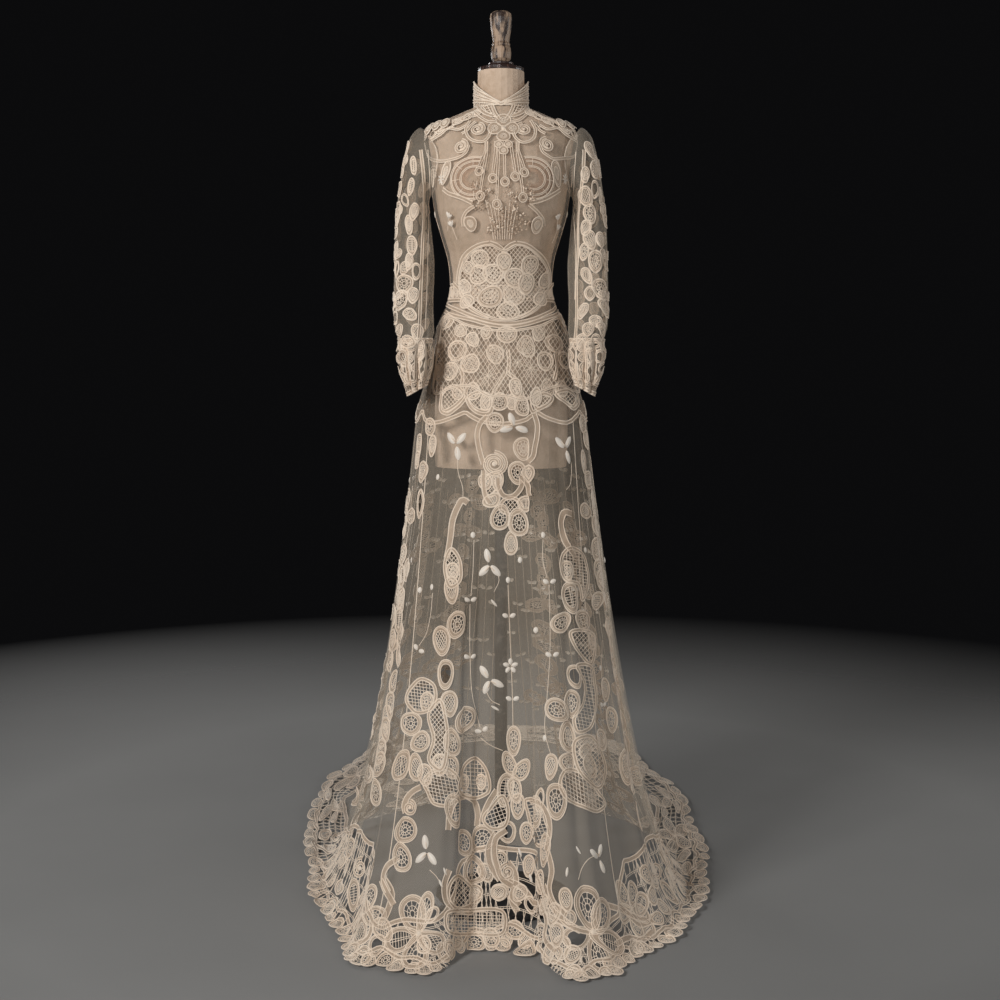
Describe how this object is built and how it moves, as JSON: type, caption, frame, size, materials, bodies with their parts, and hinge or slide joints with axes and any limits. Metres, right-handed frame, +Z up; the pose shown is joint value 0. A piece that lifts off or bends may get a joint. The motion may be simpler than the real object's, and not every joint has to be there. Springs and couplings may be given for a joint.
{
  "type": "wedding dress on dress form",
  "caption": "Long-sleeved high-necked wedding dress of net and tape lace with a scalloped train, worn by a limbless dress form on a stand",
  "frame": {"origin": "middle of the footprint of hem and train, on the floor", "axes": "+Z up, the dress faces -Y, the train lies towards +Y, +X is to the right seen from the front"},
  "size_m": [0.932, 1.8652, 1.777],
  "materials": {
    "net_cloth": "fine see-through ivory net",
    "tape_lace": "woven ivory tape and cord lace, matt with a faint sheen",
    "canvas": "aged beige canvas",
    "dark_wood": "dark polished wood",
    "worn_wood": "tan wood with worn black paint",
    "iron": "plain dark painted iron"
  },
  "bodies": {
    "root": {"bodice_front": "net_cloth", "bodice_back": "net_cloth", "sleeve_left": "net_cloth", "sleeve_right": "net_cloth", "skirt_front": "net_cloth", "skirt_side_left": "net_cloth", "skirt_side_right": "net_cloth", "skirt_back_left": "net_cloth", "skirt_back_right": "net_cloth", "stand_collar": "tape_lace", "neck_medallion": "tape_lace", "bust_wing_left": "tape_lace", "bust_wing_right": "tape_lace", "bust_tassel": "tape_lace", "cuff_left": "tape_lace", "cuff_right": "tape_lace", "waist_medallion": "tape_lace", "waist_band": "tape_lace", "hip_yoke_front": "tape_lace", "hip_yoke_back": "tape_lace", "lace_column_left": "tape_lace", "lace_column_right": "tape_lace", "centre_drop": "tape_lace", "hem_lace_front": "tape_lace", "hem_lace_side_left": "tape_lace", "hem_lace_side_right": "tape_lace", "hem_lace_train_left": "tape_lace", "hem_lace_train_right": "tape_lace", "form_torso": "canvas", "neck_cap": "dark_wood", "neck_knob": "worn_wood", "stand_pole": "iron", "stand_base": "iron"}
  },
  "joints": []
}
